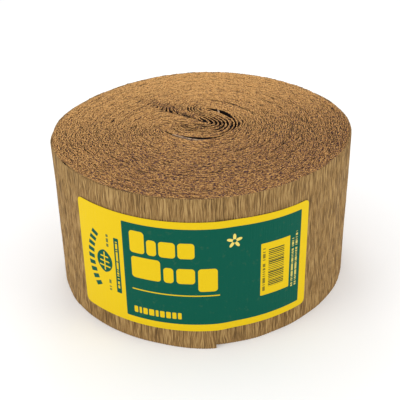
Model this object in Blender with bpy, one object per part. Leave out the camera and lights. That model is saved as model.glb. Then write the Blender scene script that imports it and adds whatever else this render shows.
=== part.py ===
"""Coreless roll of creped kraft tree wrap, held shut by a printed sticker label.

Metres, +Z up. The roll stands on one cut edge of the strip, so its base is at z = 0, and the origin
is the middle of the base. The label faces -Y. Angles written "face angle" are degrees round the side
of the roll, from -Y towards +X.

The roll is one strip, wound with no core. A flattened, C-shaped gap is left where the winding mandrel
was pulled out, and the turns fold round it: close to the gap they follow its C, further out they keep
only a notch along the fold, and the outermost ones are nearly round. Each node is a stretch of that
strip, or half of the label. Every node is an upright prism, because the strip is wound edge to edge.
"""
import math

import bmesh
import bpy
from mathutils import Vector

# Driving dimensions
STRIP_WIDTH = 0.1016            # 4 in, the height of the roll
ROLL_RADIUS = 0.0947            # mean radius of the outermost turn
STRIP_THICKNESS = 0.0006        # two creped plies, as wound
GAP = 0.0003                    # clearance between neighbouring solids
TURN_PITCH = STRIP_THICKNESS + GAP

# The roll is slightly out of round: (waves round the roll, phase in degrees, share of the radius)
OUT_OF_ROUND = ((2, -90.0, 0.0186), (3, 90.0, 0.0050), (4, 0.0, 0.0104))
ROLL_CENTRE = Vector((0.0003, 0.0, 0.0))        # puts the middle of the whole object's box on the origin

# The gap that the mandrel left, and the fold that runs from it to the side
FOLD_HEADING = 140.0            # direction of the fold, degrees from +X towards +Y
SLOT_CENTRE = Vector((-0.0002, 0.0036, 0.0))
SLOT_RADIUS = 0.0223
SLOT_HALF_SPAN = 113.0          # degrees each way from the middle of the C
SLOT_WIDTH = 0.0032
SLOT_TIP_WIDTH = 0.0014

# Where the stretches of winding meet, as a share of the way from the gap to the side
FOLDED_LEVEL = 0.33
MIDDLE_LEVEL = 0.62

# Free end of the strip, and the label over it, as face angles in degrees
TAIL_ROOT_ANGLE = -58.0
TAIL_END_ANGLE = 3.7
LABEL_LEFT_ANGLE = -50.0
LABEL_RIGHT_ANGLE = 41.2
LABEL_BOTTOM = 0.012
LABEL_HEIGHT = 0.076
LABEL_THICKNESS = 0.00015
LABEL_OUTER_DROP = -GAP - LABEL_THICKNESS
END_GAP_ANGLE = math.degrees(GAP / ROLL_RADIUS)

# Loose paper inside the gap: (name, distance from the gap's middle line, first and last angle of the C)
LOOSE_STRETCHES = (("loose_turn", 0.0, -92.0, 24.0), ("inner_end", 0.0, 76.0, 100.0))

ROUND_STEPS = 120               # straight runs in a full turn
BISECTIONS = 40

PAPER = (0.29, 0.17, 0.075, 1.0)
PAPER_SHADED = (0.20, 0.11, 0.05, 1.0)
LABEL_YELLOW = (0.89, 0.62, 0.02, 1.0)
LABEL_GREEN = (0.007, 0.11, 0.07, 1.0)


def heading(degrees):
    """Unit vector in the floor plane, degrees from +X towards +Y."""
    return Vector((math.cos(math.radians(degrees)), math.sin(math.radians(degrees)), 0.0))


def side_radius(degrees):
    """Radius of the outermost turn at a heading, before the strip's own spiral."""
    waves = sum(share * math.cos(math.radians(count * degrees + phase)) for count, phase, share in OUT_OF_ROUND)
    return ROLL_RADIUS * (1.0 + waves)


def strip_drop(face_angle):
    """How far the strip's outer face lies inside the outermost radius, one pitch for each turn back.

    The angle is counted back along the strip from its free end, so it runs on past a full turn.
    """
    return TURN_PITCH * (TAIL_END_ANGLE - face_angle) / 360.0


def side_point(face_angle, drop):
    """Point on the side of the roll, a distance `drop` in from the outermost radius."""
    direction = face_angle - 90.0
    return ROLL_CENTRE + heading(direction) * (side_radius(direction) - drop)


def winding_level(point):
    """Share of the way from the gap to the side at a point: 0 on the gap's C and 1 on the side."""
    from_slot = point - SLOT_CENTRE
    turned = (math.degrees(math.atan2(from_slot.y, from_slot.x)) - FOLD_HEADING) % 360.0 - 180.0
    if abs(turned) <= SLOT_HALF_SPAN:
        slot_distance = abs(from_slot.length - SLOT_RADIUS)
    else:
        tip = heading(FOLD_HEADING + 180.0 + math.copysign(SLOT_HALF_SPAN, turned)) * SLOT_RADIUS
        slot_distance = (from_slot - tip).length
    from_middle = point - ROLL_CENTRE
    bearing = math.degrees(math.atan2(from_middle.y, from_middle.x))
    side_distance = side_radius(bearing) - from_middle.length
    return slot_distance / (slot_distance + side_distance)


def winding_outline(level, inset=0.0):
    """Closed outline of the turn at a level, moved in towards the gap by `inset`."""
    points = []
    for step in range(ROUND_STEPS):
        direction = heading(FOLD_HEADING + 360.0 * step / ROUND_STEPS)
        near, far = SLOT_RADIUS, ROLL_RADIUS
        for _ in range(BISECTIONS):
            middle = 0.5 * (near + far)
            if winding_level(SLOT_CENTRE + direction * middle) < level:
                near = middle
            else:
                far = middle
        points.append(SLOT_CENTRE + direction * (near - inset))
    return points


def slot_point(angle, offset):
    """Point beside the gap's middle line: angle along the C from its middle, offset outwards."""
    return SLOT_CENTRE + heading(FOLD_HEADING + 180.0 + angle) * (SLOT_RADIUS + offset)


def slot_outline():
    """Closed outline of the gap: widest at its middle, with narrow round tips."""
    steps = ROUND_STEPS // 2
    outer, inner = [], []
    for step in range(steps + 1):
        share = 2.0 * step / steps - 1.0
        half_width = 0.5 * (SLOT_WIDTH + (SLOT_TIP_WIDTH - SLOT_WIDTH) * share * share)
        outer.append(slot_point(share * SLOT_HALF_SPAN, half_width))
        inner.append(slot_point(share * SLOT_HALF_SPAN, -half_width))
    half_tip_angle = math.degrees(0.5 * SLOT_TIP_WIDTH / SLOT_RADIUS)
    last_tip = slot_point(SLOT_HALF_SPAN + half_tip_angle, 0.0)
    first_tip = slot_point(-SLOT_HALF_SPAN - half_tip_angle, 0.0)
    return outer + [last_tip] + inner[::-1] + [first_tip]


def under_last_turn():
    """Closed outline just inside the last turn, with the step where that turn begins."""
    points = []
    for step in range(ROUND_STEPS + 1):
        face_angle = TAIL_ROOT_ANGLE - END_GAP_ANGLE - 360.0 * step / ROUND_STEPS
        points.append(side_point(face_angle, strip_drop(face_angle) + TURN_PITCH))
    return points


def strip_faces(face_angle):
    """Drops of the strip's outer and inner face."""
    return strip_drop(face_angle), strip_drop(face_angle) + STRIP_THICKNESS


def label_faces(_face_angle):
    """Drops of the label's outer and inner face: it stands just proud of the outermost radius."""
    return LABEL_OUTER_DROP, -GAP


def band_outline(first_angle, last_angle, faces_at):
    """Closed outline of a thin band on the side of the roll: faces_at gives its outer and inner drop."""
    steps = max(2, round(ROUND_STEPS * (last_angle - first_angle) / 360.0))
    angles = [first_angle + (last_angle - first_angle) * step / steps for step in range(steps + 1)]
    outer = [side_point(angle, faces_at(angle)[0]) for angle in angles]
    inner = [side_point(angle, faces_at(angle)[1]) for angle in angles]
    return outer + inner[::-1]


def loose_outline(offset, first_angle, last_angle):
    """Closed outline of loose paper standing in the gap."""
    steps = max(2, round(ROUND_STEPS * (last_angle - first_angle) / 360.0))
    angles = [first_angle + (last_angle - first_angle) * step / steps for step in range(steps + 1)]
    half = 0.5 * STRIP_THICKNESS
    outer = [slot_point(angle, offset + half) for angle in angles]
    inner = [slot_point(angle, offset - half) for angle in angles]
    return outer + inner[::-1]


def clear_scene():
    """Remove whatever the file holds."""
    for scene_object in list(bpy.data.objects):
        bpy.data.objects.remove(scene_object, do_unlink=True)


def new_material(name, colour, roughness):
    """Plain Principled material."""
    material = bpy.data.materials.new(name)
    material.use_nodes = True
    shader = material.node_tree.nodes["Principled BSDF"]
    shader.inputs["Base Color"].default_value = colour
    shader.inputs["Roughness"].default_value = roughness
    shader.inputs["Metallic"].default_value = 0.0
    return material


def upright_prism(name, outlines, bottom, height, colour, roughness, collection, origin=Vector((0.0, 0.0, 0.0))):
    """Stand flat outlines up as one closed solid: the first is its edge, any others are holes in it."""
    flat = bpy.data.curves.new(name, "CURVE")
    flat.dimensions = "2D"
    flat.fill_mode = "BOTH"
    flat.extrude = 0.5 * height
    for outline in outlines:
        spline = flat.splines.new("POLY")
        spline.points.add(len(outline) - 1)
        for control, point in zip(spline.points, outline):
            control.co = (point.x - origin.x, point.y - origin.y, 0.0, 1.0)
        spline.use_cyclic_u = True
    curve_object = bpy.data.objects.new(name + "_outline", flat)
    collection.objects.link(curve_object)
    bpy.context.view_layer.update()
    evaluated = curve_object.evaluated_get(bpy.context.evaluated_depsgraph_get())
    mesh = bpy.data.meshes.new_from_object(evaluated)
    bpy.data.objects.remove(curve_object, do_unlink=True)

    solid = bmesh.new()
    solid.from_mesh(mesh)
    bmesh.ops.remove_doubles(solid, verts=solid.verts, dist=1e-6)
    bmesh.ops.recalc_face_normals(solid, faces=solid.faces)
    solid.to_mesh(mesh)
    solid.free()
    mesh.name = name
    mesh.shade_smooth()
    mesh.set_sharp_from_angle(angle=math.radians(30.0))
    mesh.materials.clear()
    mesh.materials.append(new_material(name, colour, roughness))

    part = bpy.data.objects.new(name, mesh)
    part.location = (origin.x, origin.y, bottom + 0.5 * height)
    collection.objects.link(part)
    return part


def hinge_empty(name, location, collection):
    """Empty on an upright hinge line."""
    empty = bpy.data.objects.new(name, None)
    empty.empty_display_size = 0.02
    empty.location = location
    collection.objects.link(empty)
    return empty


def attach(child, parent):
    """Parent an object without moving it."""
    child.parent = parent
    child.location = child.location - parent.location


def build_windings(collection):
    """The wound body, from the folded middle to the last full turn."""
    stretches = (
        ("folded_windings", [winding_outline(FOLDED_LEVEL, GAP), slot_outline()], PAPER_SHADED),
        ("middle_windings", [winding_outline(MIDDLE_LEVEL, GAP), winding_outline(FOLDED_LEVEL)], PAPER),
        ("outer_windings", [under_last_turn(), winding_outline(MIDDLE_LEVEL)], PAPER),
    )
    for name, outlines, colour in stretches:
        upright_prism(name, outlines, 0.0, STRIP_WIDTH, colour, 0.9, collection)
    for name, offset, first_angle, last_angle in LOOSE_STRETCHES:
        outline = loose_outline(offset, first_angle, last_angle)
        upright_prism(name, [outline], 0.0, STRIP_WIDTH, PAPER_SHADED, 0.9, collection)


def build_last_turn(collection):
    """The strip's last full turn, which ends at the line where its free end lifts away."""
    outline = band_outline(TAIL_ROOT_ANGLE - 360.0, TAIL_ROOT_ANGLE - END_GAP_ANGLE, strip_faces)
    upright_prism("last_turn", [outline], 0.0, STRIP_WIDTH, PAPER, 0.9, collection)


def build_tail(collection):
    """The free end of the strip and the half of the label that is stuck to it."""
    root = side_point(TAIL_ROOT_ANGLE, strip_drop(TAIL_ROOT_ANGLE))
    hinge = hinge_empty("tail_hinge", root, collection)
    tail_outline = band_outline(TAIL_ROOT_ANGLE, TAIL_END_ANGLE, strip_faces)
    tail = upright_prism("tail_end", [tail_outline], 0.0, STRIP_WIDTH, PAPER, 0.9, collection, root)
    attach(tail, hinge)

    fixed_outline = band_outline(LABEL_LEFT_ANGLE, TAIL_END_ANGLE - END_GAP_ANGLE, label_faces)
    fixed = upright_prism("label_fixed_half", [fixed_outline], LABEL_BOTTOM, LABEL_HEIGHT, LABEL_YELLOW, 0.4,
                          collection, root)
    attach(fixed, hinge)
    return hinge


def build_label_flap(collection, tail_hinge):
    """The half of the label past the strip's end, which peels off the roll."""
    line = side_point(TAIL_END_ANGLE, LABEL_OUTER_DROP)
    hinge = hinge_empty("label_hinge", line, collection)
    outline = band_outline(TAIL_END_ANGLE, LABEL_RIGHT_ANGLE, label_faces)
    flap = upright_prism("label_peel_half", [outline], LABEL_BOTTOM, LABEL_HEIGHT, LABEL_GREEN, 0.4, collection, line)
    attach(flap, hinge)
    attach(hinge, tail_hinge)


def main():
    """Build every node of the roll."""
    clear_scene()
    collection = bpy.data.collections.new("tree_wrap_roll")
    bpy.context.scene.collection.children.link(collection)
    build_windings(collection)
    build_last_turn(collection)
    tail_hinge = build_tail(collection)
    build_label_flap(collection, tail_hinge)
    bpy.context.view_layer.update()


main()
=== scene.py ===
"""Looks for a coreless roll of creped kraft tree wrap with a peelable label.

The roll is one strip of creped paper, wound with no core. The turns fold round the C-shaped gap that the
winding mandrel left. Close to the gap they follow it, along the fold they make a row of creases, and
further out they are nearly round. Sizes are in metres and angles in degrees, in the frame of the solids:
+Z up, with the label facing -Y. A face angle is counted round the side from -Y towards +X.
"""
import logging
import math
from dataclasses import dataclass
from enum import Enum
from functools import reduce
from typing import Any, Callable, Sequence, Union

import bmesh
import bpy
import numpy as np
from mathutils import Matrix, Vector


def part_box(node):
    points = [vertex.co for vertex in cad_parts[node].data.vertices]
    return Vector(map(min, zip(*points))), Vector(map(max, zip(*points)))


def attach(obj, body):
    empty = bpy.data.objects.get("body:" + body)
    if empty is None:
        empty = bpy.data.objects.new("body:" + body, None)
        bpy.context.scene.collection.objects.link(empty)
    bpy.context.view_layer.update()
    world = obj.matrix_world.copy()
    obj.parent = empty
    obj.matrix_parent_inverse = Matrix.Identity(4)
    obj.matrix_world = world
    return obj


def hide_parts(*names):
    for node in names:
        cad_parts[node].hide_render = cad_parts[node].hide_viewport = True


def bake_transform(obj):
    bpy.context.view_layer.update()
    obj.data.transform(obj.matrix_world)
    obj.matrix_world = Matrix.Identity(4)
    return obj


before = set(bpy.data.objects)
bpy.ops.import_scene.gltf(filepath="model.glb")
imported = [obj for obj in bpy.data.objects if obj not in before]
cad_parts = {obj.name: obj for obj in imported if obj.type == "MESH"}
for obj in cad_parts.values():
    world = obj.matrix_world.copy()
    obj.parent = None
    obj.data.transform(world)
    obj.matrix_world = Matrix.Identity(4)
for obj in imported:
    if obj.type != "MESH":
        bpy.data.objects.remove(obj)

LOG = logging.getLogger("tree_wrap_roll")
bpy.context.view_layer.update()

MM = 0.001
TINY = 1e-12

Colour = tuple[float, float, float]
Number = Union[float, "Signal"]
Placing = Callable[[np.ndarray, np.ndarray], np.ndarray]


class Body(str, Enum):
    """Rigid bodies of the roll that pieces ride on."""

    ROLL = "roll"
    TAIL = "tail"
    FLAP = "label_flap"


class Slot(str, Enum):
    """Material slots of the record."""

    KRAFT = "creped_kraft"
    FOLDED = "folded_kraft"
    PRINT = "label_print"


# ---------------------------------------------------------------------------------------- shader maths


@dataclass(frozen=True)
class Signal:
    """A number carried by a shader socket, which Python operators turn into Math nodes."""

    graph: "ShaderGraph"
    socket: Any

    def _math(self, operation: str, *values: Number) -> "Signal":
        """Add one Math node."""
        return Signal(self.graph, self.graph.node("ShaderNodeMath", {"operation": operation}, values))

    def __add__(self, other: Number) -> "Signal":
        """Sum."""
        return self._math("ADD", self, other)

    def __sub__(self, other: Number) -> "Signal":
        """Difference."""
        return self._math("SUBTRACT", self, other)

    def __mul__(self, other: Number) -> "Signal":
        """Product."""
        return self._math("MULTIPLY", self, other)

    def __truediv__(self, other: Number) -> "Signal":
        """Quotient."""
        return self._math("DIVIDE", self, other)

    def __rsub__(self, other: Number) -> "Signal":
        """Difference with a plain number on the left."""
        return self._math("SUBTRACT", other, self)

    __radd__ = __add__
    __rmul__ = __mul__

    def absolute(self) -> "Signal":
        """Size without sign."""
        return self._math("ABSOLUTE", self)

    def floor(self) -> "Signal":
        """Whole number below."""
        return self._math("FLOOR", self)

    def fraction(self) -> "Signal":
        """Part above the whole number below."""
        return self._math("FRACT", self)

    def cosine(self) -> "Signal":
        """Cosine of an angle in radians."""
        return self._math("COSINE", self)

    def angle_over(self, other: "Signal") -> "Signal":
        """Angle in radians whose tangent is this over the other."""
        return self._math("ARCTAN2", self, other)

    def upper(self, other: Number) -> "Signal":
        """Larger of two."""
        return self._math("MAXIMUM", self, other)

    def above(self, edge: Number) -> "Signal":
        """1 above an edge and 0 below it."""
        return self._math("GREATER_THAN", self, edge)

    def ramp(self, low: float, high: float) -> "Signal":
        """0 at low, 1 at high, straight between them and held outside."""
        values = (self, low, high, 0.0, 1.0)
        return Signal(self.graph, self.graph.node("ShaderNodeMapRange", {"clamp": True}, values))


class ShaderGraph:
    """One material's node tree, built through a single node method."""

    def __init__(self, name: str) -> None:
        """Start an empty Principled material.

        Args:
            name: Name of the material.
        """
        self.material = bpy.data.materials.new(name)
        self.material.use_nodes = True
        self.tree = self.material.node_tree
        self.shader = self.tree.nodes["Principled BSDF"]

    def node(self, kind: str, settings: dict[str, Any], values: Union[Sequence[Any], dict[str, Any]],
             output: Union[int, str] = 0) -> Any:
        """Add a node.

        Args:
            kind: Node type.
            settings: Attributes set before the sockets, such as a Math node's operation.
            values: Numbers, colours, signals or sockets for the inputs, in order or by name.
            output: Which output to hand back.

        Returns:
            The output socket.
        """
        made = self.tree.nodes.new(kind)
        for key, value in settings.items():
            setattr(made, key, value)
        pairs = values.items() if isinstance(values, dict) else enumerate(values)
        for key, value in pairs:
            self.connect(value, made.inputs[key])
        return made.outputs[output]

    def connect(self, value: Any, target: Any) -> None:
        """Feed a socket.

        Args:
            value: Signal, socket or plain value.
            target: The socket that takes it.
        """
        if isinstance(value, Signal):
            value = value.socket
        if isinstance(value, bpy.types.NodeSocket):
            self.tree.links.new(value, target)
        elif isinstance(value, tuple) and len(value) == 3 and len(getattr(target, "default_value", ())) == 4:
            target.default_value = (*value, 1.0)
        else:
            target.default_value = value

    def set(self, **values: Any) -> None:
        """Set the shader's own sockets, with underscores for spaces in their names."""
        for key, value in values.items():
            self.connect(value, self.shader.inputs[key.replace("_", " ")])

    def uv(self) -> Any:
        """The piece's own map: distance along the strip, then height, both in metres."""
        return self.node("ShaderNodeTexCoord", {}, (), "UV")

    def place(self) -> Any:
        """Object coordinates."""
        return self.node("ShaderNodeTexCoord", {}, (), "Object")

    def stretched(self, vector: Any, scale: Colour, turn: float = 0.0) -> Any:
        """Coordinates scaled, and turned about Z by an angle in degrees."""
        values = {"Vector": vector, "Scale": scale, "Rotation": (0.0, 0.0, math.radians(turn))}
        return self.node("ShaderNodeMapping", {}, values)

    def vector(self, operation: str, *values: Any, output: Union[int, str] = 0) -> Any:
        """Add one Vector Math node."""
        return self.node("ShaderNodeVectorMath", {"operation": operation}, values, output)

    def length(self, vector: Any) -> Signal:
        """Length of a vector."""
        return Signal(self, self.vector("LENGTH", vector, output="Value"))

    def split(self, vector: Any) -> list[Signal]:
        """Take a vector apart.

        Args:
            vector: Socket of the vector.

        Returns:
            Its three parts.
        """
        made = self.tree.nodes.new("ShaderNodeSeparateXYZ")
        self.connect(vector, made.inputs[0])
        return [Signal(self, socket) for socket in made.outputs]

    def noise(self, vector: Any, grain: Colour, detail: float = 2.0, roughness: float = 0.5,
              turn: float = 0.0) -> Signal:
        """Add cloudy noise.

        Args:
            vector: Place, in metres.
            grain: Grains to a metre along each axis.
            detail: Octaves of finer noise.
            roughness: How much the finer octaves count.
            turn: Angle in degrees that the pattern is turned by about Z.

        Returns:
            Noise from 0 to 1.
        """
        values = {"Vector": self.stretched(vector, grain, turn), "Scale": 1.0, "Detail": detail,
                  "Roughness": roughness}
        return Signal(self, self.node("ShaderNodeTexNoise", {"noise_dimensions": "3D"}, values))

    def chance(self, value: Signal) -> Signal:
        """A random number from 0 to 1 for each whole number."""
        return Signal(self, self.node("ShaderNodeTexWhiteNoise", {"noise_dimensions": "1D"}, {"W": value}))

    def mix(self, share: Number, first: Any, second: Any) -> Any:
        """Blend two colours.

        Args:
            share: Share of the second colour.
            first: Colour at 0.
            second: Colour at 1.

        Returns:
            Socket of the blended colour.
        """
        made = self.tree.nodes.new("ShaderNodeMix")
        made.data_type = "RGBA"
        sockets = {socket.identifier: socket for socket in made.inputs}
        for name, value in (("Factor_Float", share), ("A_Color", first), ("B_Color", second)):
            self.connect(value, sockets[name])
        return next(socket for socket in made.outputs if socket.identifier == "Result_Color")

    def bump(self, height: Signal, distance: float, strength: float = 1.0) -> Any:
        """Surface normal from a height."""
        return self.node("ShaderNodeBump", {}, {"Height": height, "Distance": distance, "Strength": strength})


# --------------------------------------------------------------------------------------------- finishes


@dataclass(frozen=True)
class CrepedKraft:
    """Face of the creped strip: fine upright wrinkles in brown kraft paper.

    A streak is one wrinkle, a hair a finer and shorter one, and a fold a broad one. The sway keeps them from
    standing dead upright. The colour darkens in the hollows and lightens on the crests of this relief, as
    painted shade and painted highlight, with the paper's own fibre tone mixed in.
    """

    name: str = "creped_kraft_face"
    # Painted shade in the wrinkles' hollows, the paper's middle tone, and painted highlight on the crests.
    hollow: Colour = (0.120, 0.066, 0.022)
    middle: Colour = (0.262, 0.148, 0.047)
    crest: Colour = (0.430, 0.275, 0.105)
    wrinkle: float = 0.62 * MM
    streak_length: float = 24.0
    hairs_to_wrinkle: float = 2.3
    hair_length: float = 9.0
    hair_lean: float = 3.0
    folds_to_wrinkle: float = 0.42
    sway_grain: Colour = (140.0, 110.0, 1.0)
    sway: Colour = (2.2 * MM, 0.0, 0.0)
    fibre_grain: Colour = (2600.0, 1500.0, 1.0)
    shares: tuple[float, float, float, float] = (0.56, 0.14, 0.22, 0.08)
    contrast: tuple[float, float] = (0.42, 0.58)
    roughness: float = 0.82
    specular: float = 0.25
    relief: tuple[float, float] = (0.4 * MM, 0.7)

    def build(self) -> bpy.types.Material:
        """Make the material.

        Returns:
            The finished material.
        """
        graph = ShaderGraph(self.name)
        uv = graph.uv()
        along = 1.0 / self.wrinkle
        upright = along / self.streak_length
        sway = graph.noise(uv, self.sway_grain, 1.0)
        swayed = graph.vector("MULTIPLY_ADD", sway.socket, self.sway, uv)
        streaks = graph.noise(swayed, (along, upright, 1.0), 2.0, 0.6)
        hairs = graph.noise(swayed, (along * self.hairs_to_wrinkle, along / self.hair_length, 1.0), 2.0, 0.6,
                            self.hair_lean)
        folds = graph.noise(swayed, (along * self.folds_to_wrinkle, upright, 1.0), 1.0)
        fibres = graph.noise(uv, self.fibre_grain, 2.0, 0.7)
        streak, fold, hair, fibre = self.shares
        depth = streaks * streak + folds * fold + hairs * hair + fibres * fibre
        # Painted shade in the wrinkles' hollows and painted highlight on their crests, following the bump's
        # relief, with the paper's own fibre tone mixed in.
        shade = depth.ramp(*self.contrast)
        colour = graph.mix(shade.ramp(0.0, 0.5), self.hollow, self.middle)
        colour = graph.mix(shade.ramp(0.5, 1.0), colour, self.crest)
        graph.set(Base_Color=colour, Roughness=self.roughness, Specular_IOR_Level=self.specular,
                  Normal=graph.bump(depth, *self.relief))
        return graph.material


@dataclass(frozen=True)
class CutEdges:
    """Cut edges of the wound strip: warm tan crests with dark purple-brown flecks between the plies.

    A painted shade darkens the cut edges towards the front and right, the band is a dark feather along part
    of the fold, and painted shade runs down from the rims into the windings.
    """

    height: float
    name: str = "cut_edges"
    # Colour of the painted shade on the walls between the turns, below the rims.
    painted_deep_shade: Colour = (0.012, 0.006, 0.006)
    fleck: Colour = (0.088, 0.042, 0.053)
    body: Colour = (0.400, 0.190, 0.054)
    crest: Colour = (0.745, 0.425, 0.155)
    shade_from: float = 0.08 * MM
    shade_to: float = 0.50 * MM
    streak_grain: Colour = (600.0, 1250.0, 1.0)
    streak_share: float = 0.55
    speckle_grain: Colour = (1500.0, 2500.0, 1.0)
    cloud_grain: Colour = (38.0, 38.0, 10.0)
    # Painted shade: the cut edges are coloured darker towards the front and right than at the back, as the
    # light falls.
    cloud_reach: float = 0.10
    front_shade_lean: float = 0.35
    front_shade_span: tuple[float, float] = (-75.0 * MM, 55.0 * MM)
    front_shade_depth: float = 0.070
    lift: float = 0.048
    band_centre: tuple[float, float] = (-22.0 * MM, 31.0 * MM)
    band_size: tuple[float, float] = (36.0 * MM, 9.0 * MM)
    band_turn: float = 142.0
    band_core: float = 0.2
    band_depth: float = 0.045
    body_span: tuple[float, float] = (0.41, 0.487)
    crest_span: tuple[float, float] = (0.475, 0.575)
    roughness: float = 0.85
    specular: float = 0.2
    relief: tuple[float, float] = (0.2 * MM, 0.4)

    def build(self) -> bpy.types.Material:
        """Make the material.

        Returns:
            The finished material.
        """
        graph = ShaderGraph(self.name)
        place, uv = graph.place(), graph.uv()
        across, back, up = graph.split(place)
        streak = graph.noise(uv, self.streak_grain, 2.0, 0.6)
        speckle = graph.noise(uv, self.speckle_grain, 2.0, 0.7)
        cloud = graph.noise(place, self.cloud_grain)
        # Painted shade: darker towards the front and right and lighter towards the back, with a cloudy edge.
        painted_front_shade = (back * -1.0 + across * self.front_shade_lean + (cloud - 0.5) * self.cloud_reach)
        painted_front_shade = painted_front_shade.ramp(*self.front_shade_span)
        tone = streak * self.streak_share + speckle * (1.0 - self.streak_share)
        tone = tone - painted_front_shade * self.front_shade_depth + self.lift
        feather = graph.node("ShaderNodeMapping", {"vector_type": "TEXTURE"}, {
            "Vector": place, "Location": (*self.band_centre, self.height),
            "Rotation": (0.0, 0.0, math.radians(self.band_turn)), "Scale": (*self.band_size, 1.0)})
        tone = tone - graph.length(feather).ramp(1.0, self.band_core) * self.band_depth
        colour = graph.mix(tone.ramp(*self.body_span), self.fleck, self.body)
        colour = graph.mix(tone.ramp(*self.crest_span), colour, self.crest)
        # Painted shade: the walls darken from shade_from to shade_to in from the top and bottom rims, down
        # into the gaps between the turns.
        depth = self.height / 2.0 - (up - self.height / 2.0).absolute()
        colour = graph.mix(depth.ramp(self.shade_from, self.shade_to), colour, self.painted_deep_shade)
        graph.set(Base_Color=colour, Roughness=self.roughness, Specular_IOR_Level=self.specular,
                  Normal=graph.bump(speckle, *self.relief))
        return graph.material


@dataclass(frozen=True)
class Box:
    """Upright box with round corners on the flat label."""

    low: tuple[float, float]
    high: tuple[float, float]
    corner: float = 0.3


@dataclass(frozen=True)
class BlockRow:
    """Row of rounded blocks that stands for a word; a block of negative height also hangs below the line."""

    left: float
    base: float
    sizes: tuple[tuple[float, float], ...]
    gap: float
    corner: float
    hang: float = 5.4

    def boxes(self) -> list[Box]:
        """Set the blocks out.

        Returns:
            One box for each block.
        """
        made, start = [], self.left
        for width, height in self.sizes:
            foot = self.base - self.hang if height < 0.0 else self.base
            made.append(Box((start, foot), (start + width, self.base + abs(height)), self.corner))
            start += width + self.gap
        return made


@dataclass(frozen=True)
class Dashes:
    """Dashes up an upright row: how many cells to a millimetre, the first cell, and the share left empty."""

    cells: float
    first: float
    empty: float


@dataclass(frozen=True)
class FlatLabel:
    """Places on the flat label in a material, in millimetres: a vector, its part across and its part up."""

    graph: ShaderGraph
    flat: Any
    across: Signal
    up: Signal
    edge: float

    def reach(self, centre: tuple[float, float]) -> Signal:
        """Distance from a place."""
        return self.graph.length(self.graph.vector("SUBTRACT", self.flat, (*centre, 0.0)))

    def dashed(self, row: Dashes) -> Signal:
        """1 on a dash and 0 between dashes."""
        return self.graph.chance((self.up * row.cells + row.first).floor()).above(row.empty)

    def any_of(self, *boxes: Box) -> Signal:
        """Mask upright boxes with round corners.

        Args:
            *boxes: The boxes.

        Returns:
            1 inside a box and 0 outside them all.
        """
        masks, vector = [], self.graph.vector
        for box in boxes:
            middle = tuple((a + b) / 2.0 for a, b in zip(box.low, box.high)) + (0.0,)
            half = tuple((b - a) / 2.0 - box.corner for a, b in zip(box.low, box.high)) + (0.0,)
            folded = vector("ABSOLUTE", vector("SUBTRACT", self.flat, middle))
            outside = vector("MAXIMUM", vector("SUBTRACT", folded, half), (0.0, 0.0, 0.0))
            masks.append(self.graph.length(outside).ramp(box.corner + self.edge, box.corner))
        return reduce(Signal.upper, masks)


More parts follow.
